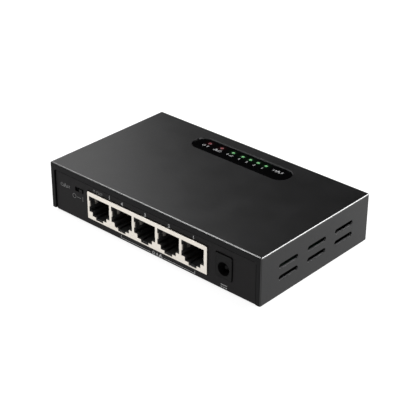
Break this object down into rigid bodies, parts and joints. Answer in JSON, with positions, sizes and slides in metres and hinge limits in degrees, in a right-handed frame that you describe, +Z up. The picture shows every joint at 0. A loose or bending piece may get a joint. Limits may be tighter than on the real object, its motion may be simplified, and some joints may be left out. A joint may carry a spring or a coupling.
{
  "type": "desktop network switch",
  "caption": "Small black steel desktop network switch: a row of shielded modular ports, a slide switch and a barrel power inlet in front, an indicator window on top, slotted sides.",
  "frame": {"origin": "on the surface it stands on, under the middle of the case", "axes": "+X to the right along the face with the ports (seen from the front), +Y to the back, +Z up"},
  "size_m": [0.124, 0.073, 0.025],
  "materials": {
    "black_paint": "satin black powder coat",
    "window_gloss": "polished black",
    "clear_moulding": "clear moulded",
    "board_laminate": "green solder mask",
    "nickel_plate": "warm nickel-plated sheet",
    "black_nylon": "fine moulded texture",
    "gold_plate": "bright gold-plated spring wire",
    "bright_steel": "nickel-plated steel",
    "phenolic": "brown insulating board",
    "epoxy_package": "moulded epoxy",
    "soft_pad": "soft silicone pad",
    "sink_aluminium": "extruded, matt",
    "ferrite": "pressed ferrite powder",
    "ceramic_body": "fired ceramic tube",
    "can_sleeve": "shrunk plastic sleeve",
    "black_zinc": "black zinc plate",
    "foot_rubber": "matt black rubber",
    "red_led": "red light-emitting chip",
    "green_led": "green light-emitting chip"
  },
  "bodies": {
    "case": {"board_screw_1": "bright_steel", "board_screw_2": "bright_steel", "board_screw_3": "bright_steel", "board_screw_4": "bright_steel", "bottom_chassis": "black_paint", "capacitor_1": "can_sleeve", "capacitor_2": "can_sleeve", "capacitor_3": "can_sleeve", "case_screw_1": "black_zinc", "case_screw_2": "black_zinc", "case_screw_3": "black_zinc", "case_screw_4": "black_zinc", "circuit_board": "board_laminate", "crystal_can": "bright_steel", "heat_sink": "sink_aluminium", "indicator_led_1": "red_led", "indicator_led_2": "red_led", "indicator_led_3": "green_led", "indicator_led_4": "green_led", "indicator_led_5": "green_led", "indicator_led_6": "green_led", "indicator_led_7": "green_led", "indicator_window": "window_gloss", "input_fuse": "ceramic_body", "light_pipe": "clear_moulding", "port_contacts_1": "gold_plate", "port_contacts_2": "gold_plate", "port_contacts_3": "gold_plate", "port_contacts_4": "gold_plate", "port_contacts_5": "gold_plate", "port_housing": "black_nylon", "port_magnetics_1": "epoxy_package", "port_magnetics_2": "epoxy_package", "port_magnetics_3": "epoxy_package", "port_magnetics_4": "epoxy_package", "port_magnetics_5": "epoxy_package", "port_shield": "nickel_plate", "power_controller_chip": "epoxy_package", "power_diode": "epoxy_package", "power_inductor": "ferrite", "power_jack_body": "black_nylon", "power_jack_pin": "black_zinc", "power_jack_spring": "bright_steel", "rubber_foot_1": "foot_rubber", "rubber_foot_2": "foot_rubber", "rubber_foot_3": "foot_rubber", "rubber_foot_4": "foot_rubber", "switch_base": "phenolic", "switch_chip": "epoxy_package", "switch_frame": "black_zinc", "thermal_pad": "soft_pad", "top_cover": "black_paint"},
    "slider": {"switch_knob": "black_nylon"}
  },
  "joints": [
    {"name": "knob_slide", "type": "slide", "parent": "case", "child": "slider", "axis": [1, 0, 0], "range_m": [-0.0022, 0]}
  ]
}
